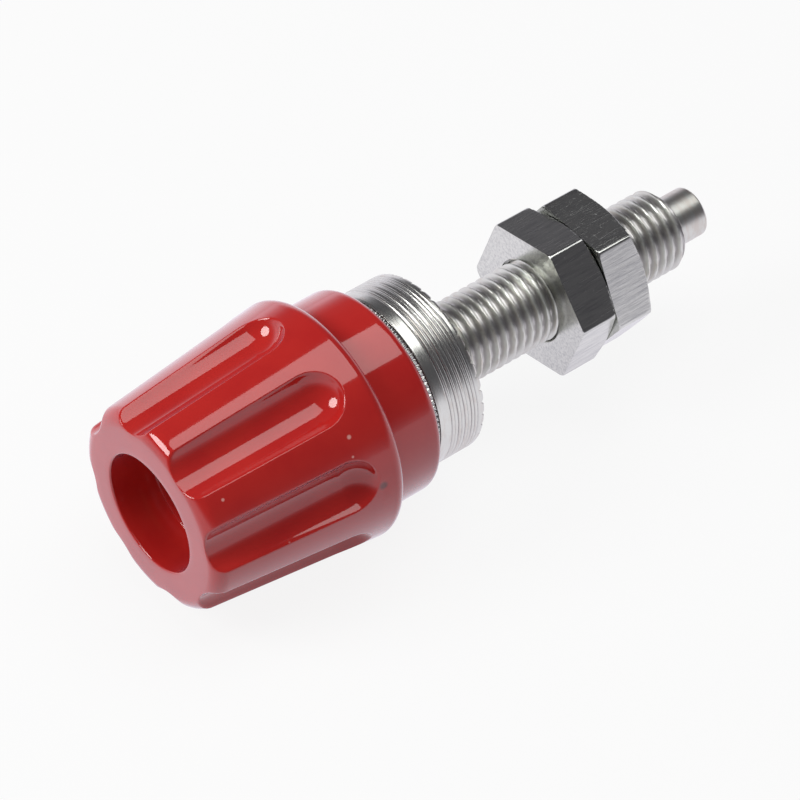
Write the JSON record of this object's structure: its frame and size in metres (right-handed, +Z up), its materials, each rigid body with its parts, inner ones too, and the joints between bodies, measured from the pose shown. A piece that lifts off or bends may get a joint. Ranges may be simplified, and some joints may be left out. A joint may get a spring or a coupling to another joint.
{
  "type": "binding post",
  "caption": "Panel binding post with a fluted red screw knob, a plug socket and a wire hole in its metal post, and a threaded stud with two locked hexagon nuts behind its collar.",
  "frame": {"origin": "on the post's axis, in the plane of the collar's rear face, where it seats on the panel", "axes": "+Y runs along the stud from the collar to the tail pin, so the knob and its socket face -Y; +X runs along the wire hole; +Z is up"},
  "size_m": [0.0174, 0.0469, 0.0174],
  "materials": {
    "red_plastic": "glossy moulded red plastic",
    "plated_metal": "nickel plating over turned metal",
    "plated_nut": "nickel plating with brushed flats",
    "brass_insert": "plain turned brass"
  },
  "bodies": {
    "post": {"post": "plated_metal", "base_ring": "red_plastic"},
    "insert": {"knob_bush": "brass_insert"},
    "knob": {"knob": "red_plastic"},
    "front_nut": {"front_nut": "plated_nut"},
    "rear_nut": {"rear_nut": "plated_nut"}
  },
  "joints": [
    {"name": "knob_travel", "type": "slide", "parent": "post", "child": "insert", "axis": [0, -1, 0], "range_m": [0, 0.006]},
    {"name": "knob_turn", "type": "hinge", "parent": "insert", "child": "knob", "pos_m": [0, -0.01545, 0], "axis": [0, -1, 0], "range_deg": [0, 1728]},
    {"name": "front_nut_travel", "type": "slide", "parent": "post", "child": "front_nut", "axis": [0, -1, 0], "range_m": [0, 0.0092]},
    {"name": "rear_nut_travel", "type": "slide", "parent": "post", "child": "rear_nut", "axis": [0, 1, 0], "range_m": [0, 0.005]}
  ],
  "couplings": [
    {"joint": "knob_travel", "follows": "knob_turn", "m_per_rad": 0.00019894}
  ]
}
